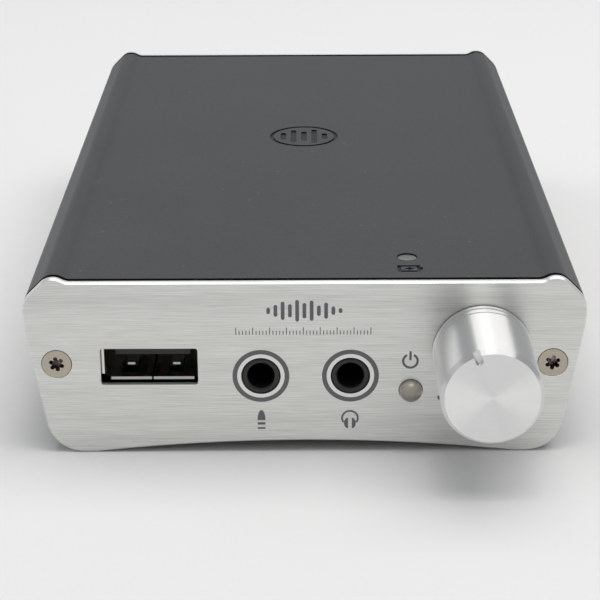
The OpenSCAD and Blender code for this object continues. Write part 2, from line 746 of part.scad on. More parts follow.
module electrolytic_capacitors() color("#9fa3a8") in_case() {
    for (x = [-14, -6.5, 1, 8.5]) can_capacitor(x, 22.5, 3.15, 8);
    for (x = [8, 16, 24]) can_capacitor(x, 98, 3.15, 8);
}

module film_capacitors() color("#b23a2c") in_case() for (y = [62, 70, 78], x = [8, 18])
    block([x - 3.6, y - 1.25, board_top], [x + 3.6, y + 1.25, board_top + 3.2]);

module crystal_can() color("#c4c6c8") in_case()
    block([-22, 58, board_top], [-17, 61.2, board_top + 1.3]);

module inductors() color("#55585c") in_case() for (y = [70, 78])
    block([-26, y - 2.5, board_top], [-21, y + 2.5, board_top + 2.8]);

// Sheet-metal lid over the radio-sensitive corner, open underneath
module shield_can() color("#c4c6c8") in_case() difference() {
    block([-15, 32, board_top], [2, 44, board_top + 2.6]);
    block([-14.7, 32.3, board_top - 1], [1.7, 43.7, board_top + 2.3]);
}

module chip_resistors() color("#2c2d2f") in_case() for (i = [0:7], x = [-6, 24.5])
    block([x - 0.8, 48 + i * 3.4, board_top], [x + 0.8, 48.8 + i * 3.4, board_top + 0.5]);

// ---- Battery ----

module battery_tray() color("#a9abad") in_case() {
    block([-27, cell_y - 1.5, tray_z], [27, cell_y + cell_len + 1.5, tray_z + tray_t]);
    for (x = [-27, 24], y = [cell_y - 1.5, cell_y + cell_len - 1.5])
        block([x, y, board_top], [x + 3, y + 3, tray_z]);
}

module battery_pack() color("#3b6ea5") in_case()
    block([-cell_w / 2, cell_y, cell_z], [cell_w / 2, cell_y + cell_len, cell_z + cell_h]);

// Foam strips under and over the pack
module battery_pads() color("#3a3b3d") in_case() for (y = [cell_y + 4, cell_y + cell_len - 14])
    for (z = [[tray_z + tray_t, cell_z], [cell_z + cell_h, roof_z]])
        block([-cell_w / 2 + 3, y, z[0]], [cell_w / 2 - 3, y + 10, z[1]]);

// Each wire leaves the pack, turns down and ends in the plug
module battery_leads() color("#b3261e") in_case() for (x = lead_xs) {
    rod(x, lead_z, 0.5, lead_start, lead_start + 1.8);
    translate([x, lead_start + 1.8, lead_z - lead_bend]) rotate([90, 0, 90])
        rotate_extrude(angle = 90, $fn = 32) translate([lead_bend, 0]) circle(r = 0.5, $fn = 24);
    post(x, lead_start + 1.8 + lead_bend, 0.5, plug_top, lead_z - lead_bend);
}

module battery_plug() color("#e8e4d6") in_case()
    block([lead_xs[0] - 1.9, lead_start + 1.6, board_top], [lead_xs[1] + 1.9, lead_start + 6.4, plug_top]);

// ---- Rear sockets ----

module dc_inlet_body() color("#17181a") in_case() difference() {
    union() {
        block([inlet_x - 4.5, rear_part_front, board_top], [inlet_x + 4.5, rear_part_back, inlet_z + 5]);
        rod(inlet_x, inlet_z, inlet_nose_r, rear_part_back - 1, port_flush);
    }
    rod(inlet_x, inlet_z, inlet_bore_r, port_blind, rear_face + 1);
}

module dc_inlet_pin() color("#c9c6bd") in_case() rod(inlet_x, inlet_z, 0.95, port_blind, rear_face - 0.9);

module optical_housing() color("#1b1c1f") in_case() difference() {
    port_top = optic_z + port_h / 2;
    union() {
        block([optic_x - 5.3, rear_part_front, board_top], [optic_x + 5.3, rear_part_back, optic_z + 5]);
        block([optic_x - optic_w / 2, rear_part_back - 1, optic_z - optic_w / 2],
              [optic_x + optic_w / 2, port_flush, optic_z + optic_w / 2]);
    }
    block([optic_x - port_w / 2, port_blind, optic_z - port_h / 2],
          [optic_x + port_w / 2, rear_face + 1, port_top]);
    // Pocket for the flap's pin, and the notch for its spring
    block([optic_x - port_w / 2 - 0.5, shutter_pin_y - 0.55, shutter_pin_z - 0.55],
          [optic_x + port_w / 2 + 0.5, shutter_pin_y + 0.55, shutter_pin_z + 0.55]);
    block([optic_x - 1.4, spring_front - 0.1, port_top - 0.1],
          [optic_x + 1.4, shutter_pin_y, port_top + 0.4]);
}

// Small block with a lens, let into the blind end of the optical port
module optical_emitter() color("#7c1f1f") in_case() {
    block([optic_x - 2.5, port_blind, optic_z - 2.5], [optic_x + 2.5, port_blind + 1, optic_z + 2.5]);
    rod(optic_x, optic_z, 1.1, port_blind + 1, port_blind + 1.6);
}

// Flap that hangs from a pin at the top of the port and swings inward
module optical_shutter() color("#232427") in_case() {
    translate([optic_x, shutter_pin_y, shutter_pin_z]) rotate([0, 90, 0])
        cylinder(r = 0.4, h = port_w + 0.6, center = true);
    block([optic_x - port_w / 2 + 0.2, shutter_pin_y - shutter_t / 2, optic_z - port_h / 2 + 0.2],
          [optic_x + port_w / 2 - 0.2, shutter_pin_y + shutter_t / 2, shutter_pin_z]);
}

module optical_shutter_spring() color("#b6b4ac") in_case()
    block([optic_x - 1.2, spring_front, optic_z + port_h / 2 + 0.1],
          [optic_x + 1.2, shutter_pin_y - 0.6, optic_z + port_h / 2 + 0.4]);

// ---- Slide switches: a metal frame on the board and a lever that slides in it along X ----

module switch_frame(x, travel_low, travel_high) difference() {
    block([x - switch_w / 2, switch_front, board_top], [x + switch_w / 2, switch_back, board_top + switch_h]);
    block([x - lever_w / 2 - travel_low - 1.3, switch_front + 1.2, lever_z - 1.4],
          [x + lever_w / 2 + travel_high + 1.3, switch_back - 0.8, lever_z + 1.4]);
    block([x - lever_w / 2 - travel_low - 0.2, switch_back - 1.2, lever_z - lever_h / 2 - 0.2],
          [x + lever_w / 2 + travel_high + 0.2, switch_back + 1, lever_z + lever_h / 2 + 0.2]);
}

// Slider block inside the frame, with the tip that a finger moves
module switch_lever(x) {
    block([x - lever_w / 2 - 1, switch_front + 1.5, lever_z - 1.2],
          [x + lever_w / 2 + 1, switch_back - 1.1, lever_z + 1.2]);
    block([x - lever_w / 2, switch_back - 1.11, lever_z - lever_h / 2],
          [x + lever_w / 2, rear_face + lever_out, lever_z + lever_h / 2]);
}

module gain_switch_frame() color("#b9b9b6") in_case() switch_frame(gain_x, 0, switch_step);

module gain_switch_lever() color("#1b1c1f") in_case() switch_lever(gain_x);

module filter_switch_frame() color("#b9b9b6") in_case() switch_frame(filter_x, switch_step, switch_step);

module filter_switch_lever() color("#1b1c1f") in_case() switch_lever(filter_x);

module mode_switch_frame() color("#b9b9b6") in_case() switch_frame(mode_x, switch_step, switch_step);

module mode_switch_lever() color("#1b1c1f") in_case() switch_lever(mode_x);

case_sleeve();
front_panel();
rear_panel();
front_gasket();
rear_gasket();
front_screws();
rear_screws();
volume_knob();
knob_insert();
pot_shaft();
pot_wiper();
pot_bushing();
pot_nut();
pot_washer();
pot_housing();
pot_track_plate();
pot_pins();
power_switch_block();
usb_shell();
usb_tongue();
usb_contacts();
line_jack_body();
line_jack_contacts();
headphone_jack_body();
headphone_jack_contacts();
power_led();
power_led_leads();
charge_light_pipe();
charge_led();
main_board();
converter_chip();
usb_controller_chip();
amplifier_chips();
electrolytic_capacitors();
film_capacitors();
crystal_can();
inductors();
shield_can();
chip_resistors();
battery_pack();
battery_tray();
battery_pads();
battery_leads();
battery_plug();
dc_inlet_body();
dc_inlet_pin();
optical_housing();
optical_emitter();
optical_shutter();
optical_shutter_spring();
gain_switch_frame();
gain_switch_lever();
filter_switch_frame();
filter_switch_lever();
mode_switch_frame();
mode_switch_lever();
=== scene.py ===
"""Looks of a portable headphone amplifier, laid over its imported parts.

Lengths are in metres unless a name ends in _mm. X runs to the right, Y from front to rear, Z up.
"""

import json
import math

import bmesh
import bpy
from mathutils import Matrix, Vector


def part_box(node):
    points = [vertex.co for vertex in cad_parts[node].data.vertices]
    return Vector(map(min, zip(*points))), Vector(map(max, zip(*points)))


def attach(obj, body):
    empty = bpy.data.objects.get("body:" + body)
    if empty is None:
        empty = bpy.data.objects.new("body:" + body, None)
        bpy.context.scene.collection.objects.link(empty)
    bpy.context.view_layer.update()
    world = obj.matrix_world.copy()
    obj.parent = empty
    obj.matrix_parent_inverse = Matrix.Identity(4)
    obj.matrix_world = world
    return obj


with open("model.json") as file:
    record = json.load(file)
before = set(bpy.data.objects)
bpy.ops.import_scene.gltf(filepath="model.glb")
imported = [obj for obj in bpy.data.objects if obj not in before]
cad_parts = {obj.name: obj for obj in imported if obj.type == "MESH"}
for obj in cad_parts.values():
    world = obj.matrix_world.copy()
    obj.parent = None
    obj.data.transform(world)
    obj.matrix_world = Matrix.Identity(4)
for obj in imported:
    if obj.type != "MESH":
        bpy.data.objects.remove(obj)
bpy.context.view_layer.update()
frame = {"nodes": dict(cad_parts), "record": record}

MM = 0.001

# ---------------------------------------------------------------------------
# Places taken from the frame
# ---------------------------------------------------------------------------


def middle(name):
    """Centre of a CAD node's box."""
    low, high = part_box(name)
    return (low + high) / 2


def mount_place(name):
    """Where one of the record's mounts is."""
    for mount in frame["record"]["mounts"]:
        if mount["name"] == name:
            return Vector(mount["pos_m"])
    raise KeyError(name)


def right_screw_axis():
    """A point on the axis of the right screws, half-way between the end plates."""
    low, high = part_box("front_screws")
    radius = (high.z - low.z) / 2
    return Vector((high.x - radius, (FRONT_FACE + REAR_FACE) / 2, (low.z + high.z) / 2))


FRONT_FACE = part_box("front_panel")[0].y
REAR_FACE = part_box("rear_panel")[1].y
DECK_Z = mount_place("deck").z
SLEEVE_LOW, SLEEVE_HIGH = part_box("case_sleeve")
SCREW = right_screw_axis()
KNOB = middle("volume_knob")
LINE_SOCKET = middle("line_jack_body")
PHONES_SOCKET = middle("headphone_jack_body")
POWER_LIGHT = middle("power_led")


# ---------------------------------------------------------------------------
# Building blocks for node trees
# ---------------------------------------------------------------------------


def add(tree, kind, feeds=None, **settings):
    """New shader node; feeds sets its inputs by name, from sockets or from plain values."""
    made = tree.nodes.new("ShaderNode" + kind)
    for name, value in settings.items():
        setattr(made, name, value)
    for name, value in (feeds or {}).items():
        feed(tree, made.inputs[name], value)
    return made


def feed(tree, socket, value):
    """Links a socket to another one, or gives it a plain value."""
    if isinstance(value, bpy.types.NodeSocket):
        tree.links.new(value, socket)
    else:
        socket.default_value = value


def calc(tree, operation, *values):
    """Result of one arithmetic step on numbers."""
    made = add(tree, "Math", operation=operation)
    for socket, value in zip(made.inputs, values):
        feed(tree, socket, value)
    return made.outputs[0]


def product(tree, first, *others):
    for value in others:
        first = calc(tree, "MULTIPLY", first, value)
    return first


def weighed(tree, first, share, second):
    """Mean of two numbers, of which the first counts for its share and the second for the rest."""
    rest = product(tree, second, round(1 - share, 3))
    return calc(tree, "MULTIPLY_ADD", first, share, rest)


def vector_calc(tree, operation, first, second):
    """Result of one arithmetic step on vectors."""
    return add(tree, "VectorMath", {0: first, 1: second}, operation=operation).outputs[0]


def xyz(tree, vector):
    """The three numbers of a vector."""
    return add(tree, "SeparateXYZ", {0: vector}).outputs


def surface_normal(tree):
    return add(tree, "NewGeometry").outputs["Normal"]


def spread(tree, mask, low, high, start=0.0, stop=1.0):
    """Number that goes from low to high while the mask goes from start to stop."""
    made = add(tree, "MapRange", {
        "Value": mask, "From Min": start, "From Max": stop, "To Min": low, "To Max": high})
    return made.outputs["Result"]


def blend(tree, mask, first, second):
    """Colour that goes from first to second as the mask goes from 0 to 1."""
    made = add(tree, "Mix", data_type="RGBA")
    feed(tree, made.inputs[0], mask)
    feed(tree, made.inputs[6], first)
    feed(tree, made.inputs[7], second)
    return made.outputs[2]


def noise(tree, where, scale, detail=2.0, roughness=0.5):
    """Soft noise from 0 to 1."""
    made = add(tree, "TexNoise", {
        "Vector": where, "Scale": scale, "Detail": detail, "Roughness": roughness})
    return made.outputs[0]


def place_mm(tree):
    """Place on the piece, in millimetres."""
    place = add(tree, "TexCoord").outputs["Object"]
    made = add(tree, "VectorMath", {0: place, "Scale": 1 / MM}, operation="SCALE")
    return made.outputs[0]


def distance(tree, across, up):
    """Length of the line that spans two numbers at right angles."""
    squares = calc(tree, "ADD", product(tree, across, across), product(tree, up, up))
    return calc(tree, "SQRT", squares)


def new_group(name, inputs, outputs):
    """Empty shader group with its inputs and number outputs; comes with its two end nodes."""
    tree = bpy.data.node_groups.new(name, "ShaderNodeTree")
    for title, value in inputs.items():
        kind = "NodeSocketVector" if isinstance(value, tuple) else "NodeSocketFloat"
        made = tree.interface.new_socket(title, in_out="INPUT", socket_type=kind)
        made.default_value = value
    for title in outputs:
        tree.interface.new_socket(title, in_out="OUTPUT", socket_type="NodeSocketFloat")
    return tree, tree.nodes.new("NodeGroupInput"), tree.nodes.new("NodeGroupOutput")


def use(tree, group, **values):
    """Places a group in a material; names of inputs are written with _ for a space."""
    made = tree.nodes.new("ShaderNodeGroup")
    made.node_tree = group
    for name, value in values.items():
        feed(tree, made.inputs[name.replace("_", " ")], value)
    return made.outputs


# ---------------------------------------------------------------------------
# Effects that several finishes share
# ---------------------------------------------------------------------------


def make_brushed_lines():
    """Fine lines along X, as a brushing belt leaves them, with a few deeper scratches."""
    scratch_scale = 0.46
    drift_scale = 0.08
    tree, given, result = new_group(
        "brushed_lines", {"Length mm": 9.0, "Spacing mm": 0.1}, ["Lines", "Scratches", "Drift"])
    along = calc(tree, "DIVIDE", 1.0, given.outputs["Length mm"])
    across = calc(tree, "DIVIDE", 1.0, given.outputs["Spacing mm"])
    stretch = add(tree, "CombineXYZ", {"X": along, "Y": 0.3, "Z": across}).outputs[0]
    where = vector_calc(tree, "MULTIPLY", place_mm(tree), stretch)
    scratches = noise(tree, where, scratch_scale, 1.0)
    feed(tree, result.inputs["Lines"], noise(tree, where, 1.0, 3.0, 0.62))
    feed(tree, result.inputs["Scratches"], spread(tree, scratches, 0.0, 1.0, 0.66, 0.78))
    feed(tree, result.inputs["Drift"], noise(tree, where, drift_scale, 2.0))
    return tree


def make_fine_grain():
    """Even grain of a blasted, moulded or plated skin, with sparse specks in it."""
    speck_scale = 0.31
    cloud_scale = 0.012
    tree, given, result = new_group(
        "fine_grain", {"Size mm": 0.12}, ["Grain", "Specks", "Clouds"])
    where = place_mm(tree)
    density = calc(tree, "DIVIDE", 1.0, given.outputs["Size mm"])
    specks = noise(tree, where, product(tree, density, speck_scale), 1.0)
    clouds = noise(tree, where, product(tree, density, cloud_scale), 3.0)
    feed(tree, result.inputs["Grain"], noise(tree, where, density, 2.0, 0.6))
    feed(tree, result.inputs["Specks"], spread(tree, specks, 0.0, 1.0, 0.73, 0.8))
    feed(tree, result.inputs["Clouds"], clouds)
    return tree


def make_spun_rings():
    """Turning marks round an axis along Y, on the faces and on the sides alike."""
    ring_drift = 0.05
    sector_scale = 2.2
    tree, given, result = new_group(
        "spun_rings", {"Axis mm": (0.0, 0.0, 0.0), "Spacing mm": 0.1}, ["Rings", "Sectors"])
    offset = xyz(tree, vector_calc(tree, "SUBTRACT", place_mm(tree), given.outputs["Axis mm"]))
    radius = distance(tree, offset["X"], offset["Z"])
    per_mm = calc(tree, "DIVIDE", 1.0, given.outputs["Spacing mm"])
    ring_place = add(tree, "CombineXYZ", {
        "X": product(tree, radius, per_mm),
        "Y": product(tree, offset["Y"], per_mm),
        "Z": product(tree, offset["X"], ring_drift)}).outputs[0]
    flat = add(tree, "CombineXYZ", {"X": offset["X"], "Z": offset["Z"]}).outputs[0]
    bearing = add(tree, "VectorMath", {0: flat}, operation="NORMALIZE").outputs[0]
    feed(tree, result.inputs["Rings"], noise(tree, ring_place, 1.0, 2.0, 0.55))
    feed(tree, result.inputs["Sectors"], noise(tree, bearing, sector_scale, 2.0))
    return tree


def make_handling_marks():
    """Soft patches where hands have polished or dulled a surface."""
    rub_scale = 5.0
    tree, given, result = new_group("handling_marks", {"Patch mm": 14.0}, ["Patches", "Rubs"])
    where = place_mm(tree)
    density = calc(tree, "DIVIDE", 1.0, given.outputs["Patch mm"])
    rubs = noise(tree, where, product(tree, density, rub_scale), 4.0, 0.7)
    feed(tree, result.inputs["Patches"], noise(tree, where, density, 3.0, 0.55))
    feed(tree, result.inputs["Rubs"], spread(tree, rubs, 0.0, 1.0, 0.58, 0.75))
    return tree


def make_settled_dust():
    """Sparse dust that lies on whatever faces up."""
    cell_scale = 0.22
    share_without_dust = 0.955
    tree, given, result = new_group("settled_dust", {"Speck mm": 0.25}, ["Dust"])
    density = calc(tree, "DIVIDE", 1.0, given.outputs["Speck mm"])
    cells = add(tree, "TexVoronoi", {
        "Vector": place_mm(tree), "Scale": product(tree, density, cell_scale)})
    chosen = add(tree, "SeparateColor", {0: cells.outputs["Color"]}).outputs[0]
    present = calc(tree, "GREATER_THAN", chosen, share_without_dust)
    size = spread(tree, cells.outputs["Distance"], 1.0, 0.0, 0.1, 0.2)
    facing_up = spread(tree, xyz(tree, surface_normal(tree))["Z"], 0.0, 1.0, 0.8, 0.95)
    feed(tree, result.inputs["Dust"], product(tree, present, size, facing_up))
    return tree


BRUSHED = make_brushed_lines()
GRAIN = make_fine_grain()
SPUN = make_spun_rings()
HANDLED = make_handling_marks()
DUST = make_settled_dust()


# ---------------------------------------------------------------------------
# Finishes
# ---------------------------------------------------------------------------

METAL = {"Metallic": 1.0}

# Colours between which a finish varies, from dark to light
PLATE_DARK, PLATE_LIGHT = (0.552, 0.552, 0.53, 1), (0.876, 0.876, 0.849, 1)
KNOB_DARK, KNOB_LIGHT = (0.68, 0.677, 0.672, 1), (0.86, 0.857, 0.852, 1)
NICKEL_DARK, NICKEL_LIGHT = (0.36, 0.325, 0.265, 1), (0.56, 0.51, 0.43, 1)
# Painted shade inside the screw recess, deep and pale
RECESS_DEEP_SHADE, RECESS_PALE_SHADE = (0.03, 0.02, 0.02, 1), (0.3, 0.25, 0.23, 1)
# Painted shade of the power light's lower half, then painted light of its upper half
DOME_SHADED_DARK, DOME_SHADED_LIGHT = (0.17, 0.155, 0.14, 1), (0.22, 0.2, 0.18, 1)
DOME_LIT_DARK, DOME_LIT_LIGHT = (0.35, 0.322, 0.265, 1), (0.42, 0.387, 0.32, 1)
PIPE_DARK, PIPE_LIGHT = (0.5, 0.54, 0.5, 1), (0.68, 0.72, 0.68, 1)
USB_DARK, USB_LIGHT = (0.68, 0.67, 0.63, 1), (0.9, 0.88, 0.84, 1)
TURNED_DARK, TURNED_LIGHT = (0.62, 0.62, 0.6, 1), (0.82, 0.82, 0.8, 1)
GOLD_DARK, GOLD_LIGHT = (0.62, 0.42, 0.14, 1), (0.85, 0.62, 0.25, 1)
STEEL_DARK, STEEL_LIGHT = (0.42, 0.41, 0.38, 1), (0.6, 0.59, 0.56, 1)
CAN_DARK, CAN_LIGHT = (0.5, 0.51, 0.53, 1), (0.7, 0.71, 0.72, 1)
TRAY_DARK, TRAY_LIGHT = (0.42, 0.43, 0.44, 1), (0.58, 0.59, 0.6, 1)
MASK_DARK, MASK_LIGHT = (0.008, 0.07, 0.028, 1), (0.014, 0.105, 0.04, 1)
LAMINATE_DARK, LAMINATE_LIGHT = (0.10, 0.052, 0.022, 1), (0.2, 0.11, 0.05, 1)
FILM_DARK, FILM_LIGHT = (0.3, 0.03, 0.018, 1), (0.5, 0.07, 0.04, 1)
CELL_DARK, CELL_LIGHT = (0.02, 0.09, 0.24, 1), (0.045, 0.16, 0.38, 1)
WIRE_DARK, WIRE_LIGHT = (0.36, 0.015, 0.012, 1), (0.5, 0.03, 0.022, 1)
CREAM_DARK, CREAM_LIGHT = (0.6, 0.56, 0.44, 1), (0.74, 0.7, 0.58, 1)

# Colours that stand alone
SCRATCH = (0.92, 0.92, 0.9, 1)
# Bright cut metal of the plates' rims, brightest on the upper rims as painted highlight
CUT_EDGE_AND_HIGHLIGHT = (0.93, 0.93, 0.915, 1)
# Painted shade round the power light's rim
DOME_RIM_SHADE = (0.19, 0.175, 0.155, 1)
TRACK = (0.03, 0.17, 0.065, 1)
VIA = (0.45, 0.36, 0.16, 1)


def shade(value, warmth=0.0):
    """Grey of a given lightness, a little warm or cool."""
    return (value * (1 + warmth), value, value * (1 - warmth), 1.0)


def blank(name, fixed=None):
    """New material with its tree and its shader; fixed holds what is the same all over."""
    material = bpy.data.materials.new(name)
    material.use_nodes = True
    shader = material.node_tree.nodes["Principled BSDF"]
    for title, value in (fixed or {}).items():
        shader.inputs[title].default_value = value
    return material, material.node_tree, shader


def colour(tree, shader, value):
    feed(tree, shader.inputs["Base Color"], value)


def gloss(tree, shader, value):
    feed(tree, shader.inputs["Roughness"], value)


def bump(tree, shader, height, depth_mm):
    """Raises the surface by up to the depth where the height is 1."""
    made = add(tree, "Bump", {"Height": height, "Distance": depth_mm * MM, "Strength": 1.0})
    feed(tree, shader.inputs["Normal"], made.outputs["Normal"])


def grained(name, dark, light, roughness, size_mm, depth_mm, fixed=None):
    """Moulded, stamped or plated skin: tone, gloss and height follow one fine grain."""
    grains_per_patch = 60
    material, tree, shader = blank(name, fixed)
    grain = use(tree, GRAIN, Size_mm=size_mm)
    marks = use(tree, HANDLED, Patch_mm=size_mm * grains_per_patch)
    tone = weighed(tree, grain["Grain"], 0.6, marks["Patches"])
    wear = weighed(tree, marks["Rubs"], 0.5, grain["Grain"])
    colour(tree, shader, blend(tree, tone, dark, light))
    gloss(tree, shader, spread(tree, wear, roughness * 0.85, roughness * 1.15))
    bump(tree, shader, grain["Grain"], depth_mm)
    return material


def sleeve_finish():
    """Bead-blasted aluminium under a dark grey anodised layer; the engraving is blacker."""
    coolness = -0.03
    speck_strength = 0.25
    dust_strength = 0.3
    material, tree, shader = blank("sleeve_anodised", {"Specular IOR Level": 0.5})
    grain = use(tree, GRAIN, Size_mm=0.21)
    marks = use(tree, HANDLED, Patch_mm=22.0)
    dust = use(tree, DUST, Speck_mm=0.3)
    tone = weighed(tree, grain["Grain"], 0.7, marks["Patches"])
    body = blend(tree, tone, shade(0.018, coolness), shade(0.084, coolness))
    specks = product(tree, grain["Specks"], speck_strength)
    specked = blend(tree, specks, body, shade(0.16))
    dusty = blend(tree, product(tree, dust["Dust"], dust_strength), specked, shade(0.26))
    cut = engraved(tree)
    colour(tree, shader, blend(tree, cut, dusty, shade(0.006)))
    feed(tree, shader.inputs["Metallic"], spread(tree, cut, 0.2, 0.0))
    gloss(tree, shader, spread(tree, marks["Patches"], 0.42, 0.52))
    bump(tree, shader, grain["Grain"], 0.02)
    return material


def engraved(tree):
    """1 on the floors and the walls of what is cut into the deck, else 0."""
    skin_mm = 0.03
    deepest_mm = 0.5
    half_width_mm = 25.0
    end_margin_mm = 1.0
    deck_mm = DECK_Z / MM
    middle_mm = (SLEEVE_LOW.y + SLEEVE_HIGH.y) / 2 / MM
    half_length_mm = (SLEEVE_HIGH.y - SLEEVE_LOW.y) / 2 / MM - end_margin_mm
    place = xyz(tree, place_mm(tree))
    from_middle = calc(tree, "ABSOLUTE", calc(tree, "SUBTRACT", place["Y"], middle_mm))
    below = calc(tree, "LESS_THAN", place["Z"], deck_mm - skin_mm)
    above = calc(tree, "GREATER_THAN", place["Z"], deck_mm - deepest_mm)
    inboard = calc(tree, "LESS_THAN", calc(tree, "ABSOLUTE", place["X"]), half_width_mm)
    within = calc(tree, "LESS_THAN", from_middle, half_length_mm)
    return product(tree, below, above, inboard, within)


def plate_finish():
    """Brushed, clear anodised aluminium of the end plates; the lines run from side to side."""
    scratch_strength = 0.2
    line_roughness = 0.12
    material, tree, shader = blank("plate_silver", {"Metallic": 1.0, "Anisotropic": 0.6})
    lines = use(tree, BRUSHED, Length_mm=7.0, Spacing_mm=0.15)
    marks = use(tree, HANDLED, Patch_mm=18.0)
    tone = spread(tree, weighed(tree, lines["Lines"], 0.75, lines["Drift"]), 0.0, 1.0, 0.25, 0.75)
    body = blend(tree, tone, PLATE_DARK, PLATE_LIGHT)
    scratches = product(tree, lines["Scratches"], scratch_strength)
    scratched = blend(tree, scratches, body, SCRATCH)
    smooth = spread(tree, marks["Patches"], 0.28, 0.34)
    # The rims get bright cut metal, with painted highlight on the upper ones
    colour(tree, shader, blend(tree, cut_edge_and_painted_highlight(tree), scratched, CUT_EDGE_AND_HIGHLIGHT))
    gloss(tree, shader, calc(tree, "MULTIPLY_ADD", lines["Lines"], line_roughness, smooth))
    feed(tree, shader.inputs["Tangent"], across_the_lines(tree))
    bump(tree, shader, lines["Lines"], 0.0035)
    return material


def cut_edge_and_painted_highlight(tree):
    """1 on a plate's bevels and rims, where the cutter left the metal bright; weighted up on the
    upper rims and down to nothing on the lower ones, as painted highlight.
    """
    normal = xyz(tree, surface_normal(tree))
    slanted = spread(tree, calc(tree, "ABSOLUTE", normal["Y"]), 1.0, 0.0, 0.9, 0.97)
    return product(tree, slanted, spread(tree, normal["Z"], 0.0, 1.0, -0.1, 0.5))


def across_the_lines(tree):
    """Direction on the surface that crosses the brushing, which runs along X."""
    return vector_calc(tree, "CROSS_PRODUCT", (1.0, 0.0, 0.0), surface_normal(tree))


def knob_finish():
    """Turned aluminium; the knob's face is smoother than its side, and its colour is lifted as
    painted light.
    """
    face_painted_light = 0.47
    side_roughness, face_roughness = 0.38, 0.3
    ring_roughness = 0.3
    material, tree, shader = blank("knob_aluminium", {
        "Metallic": 1.0, "Anisotropic": 1.0, "Anisotropic Rotation": 0.25})
    spun = use(tree, SPUN, Axis_mm=tuple(KNOB / MM), Spacing_mm=0.12)
    marks = use(tree, HANDLED, Patch_mm=9.0)
    tone = weighed(tree, spun["Rings"], 0.6, spun["Sectors"])
    along_axis = calc(tree, "ABSOLUTE", xyz(tree, surface_normal(tree))["Y"])
    facing = spread(tree, along_axis, 0.0, 1.0, 0.8, 0.98)
    # Painted light: the face's tone is raised towards the light colour
    painted_light_tone = calc(tree, "MULTIPLY_ADD", facing, face_painted_light, tone)
    coarse = spread(tree, facing, side_roughness, face_roughness)
    wear = calc(tree, "MULTIPLY_ADD", spun["Rings"], ring_roughness,
                spread(tree, marks["Patches"], 0.8, 1.0))
    round_axis = add(tree, "Tangent", direction_type="RADIAL", axis="Y").outputs[0]
    colour(tree, shader, blend(tree, painted_light_tone, KNOB_DARK, KNOB_LIGHT))
    gloss(tree, shader, product(tree, coarse, wear))
    feed(tree, shader.inputs["Tangent"], round_axis)
    bump(tree, shader, spun["Rings"], 0.001)
    return material


def screw_finish():
    """Warm nickel of the end screws; the recess is painted shade, lighter in warm patches."""
    recess_radius_mm = 1.12
    recess_start_mm = 0.1
    shade_mottle_scale = 1.9
    material, tree, shader = blank("screw_nickel", METAL)
    grain = use(tree, GRAIN, Size_mm=0.22)
    marks = use(tree, HANDLED, Patch_mm=3.0)
    where = place_mm(tree)
    place = xyz(tree, where)
    side = calc(tree, "SUBTRACT", calc(tree, "ABSOLUTE", place["X"]), SCREW.x / MM)
    rise = calc(tree, "SUBTRACT", place["Z"], SCREW.z / MM)
    out = calc(tree, "ABSOLUTE", calc(tree, "SUBTRACT", place["Y"], SCREW.y / MM))
    reach_mm = (REAR_FACE - FRONT_FACE) / 2 / MM
    sunk = product(tree, calc(tree, "LESS_THAN", out, reach_mm - recess_start_mm),
                   calc(tree, "LESS_THAN", distance(tree, side, rise), recess_radius_mm))
    # Painted shade in the recess, mottled from deep to pale
    recess_shade_mottle = spread(tree, noise(tree, where, shade_mottle_scale, 2.0), 0.0, 1.0, 0.42, 0.6)
    body = blend(tree, grain["Grain"], NICKEL_DARK, NICKEL_LIGHT)
    colour(tree, shader, blend(tree, sunk, body, blend(tree, recess_shade_mottle, RECESS_DEEP_SHADE, RECESS_PALE_SHADE)))
    gloss(tree, shader, spread(tree, marks["Patches"], 0.26, 0.42))
    bump(tree, shader, grain["Grain"], 0.004)
    return material


def dome_finish():
    """Milky plastic of the power light, with painted shade below and round its rim, and painted
    light above.
    """
    rim_start_mm, rim_stop_mm = 1.45, 1.55
    foot_mm, top_mm = -0.7, 1.0
    material, tree, shader = blank("dome_grey", {"Coat Weight": 1.0, "Coat Roughness": 0.1})
    grain = use(tree, GRAIN, Size_mm=0.3)
    offset = xyz(tree, vector_calc(tree, "SUBTRACT", place_mm(tree), tuple(POWER_LIGHT / MM)))
    radius = distance(tree, offset["X"], offset["Z"])
    rim_shade = spread(tree, radius, 0.0, 1.0, rim_start_mm, rim_stop_mm)
    height = spread(tree, offset["Z"], 0.0, 1.0, foot_mm, top_mm)
    # Painted shade below and painted light above, blended by height
    foot = blend(tree, grain["Grain"], DOME_SHADED_DARK, DOME_SHADED_LIGHT)
    top = blend(tree, grain["Grain"], DOME_LIT_DARK, DOME_LIT_LIGHT)
    colour(tree, shader, blend(tree, rim_shade, blend(tree, height, foot, top), DOME_RIM_SHADE))
    gloss(tree, shader, spread(tree, grain["Clouds"], 0.18, 0.28))
    bump(tree, shader, grain["Grain"], 0.003)
    return material


def pipe_finish():
    """Clear acrylic of the light pipe, faintly misted inside."""
    material, tree, shader = blank("pipe_clear", {"Transmission Weight": 0.75, "IOR": 1.49})
    grain = use(tree, GRAIN, Size_mm=0.4)
    colour(tree, shader, blend(tree, grain["Grain"], PIPE_DARK, PIPE_LIGHT))
    gloss(tree, shader, spread(tree, grain["Clouds"], 0.2, 0.34))
    bump(tree, shader, grain["Grain"], 0.003)
    return material


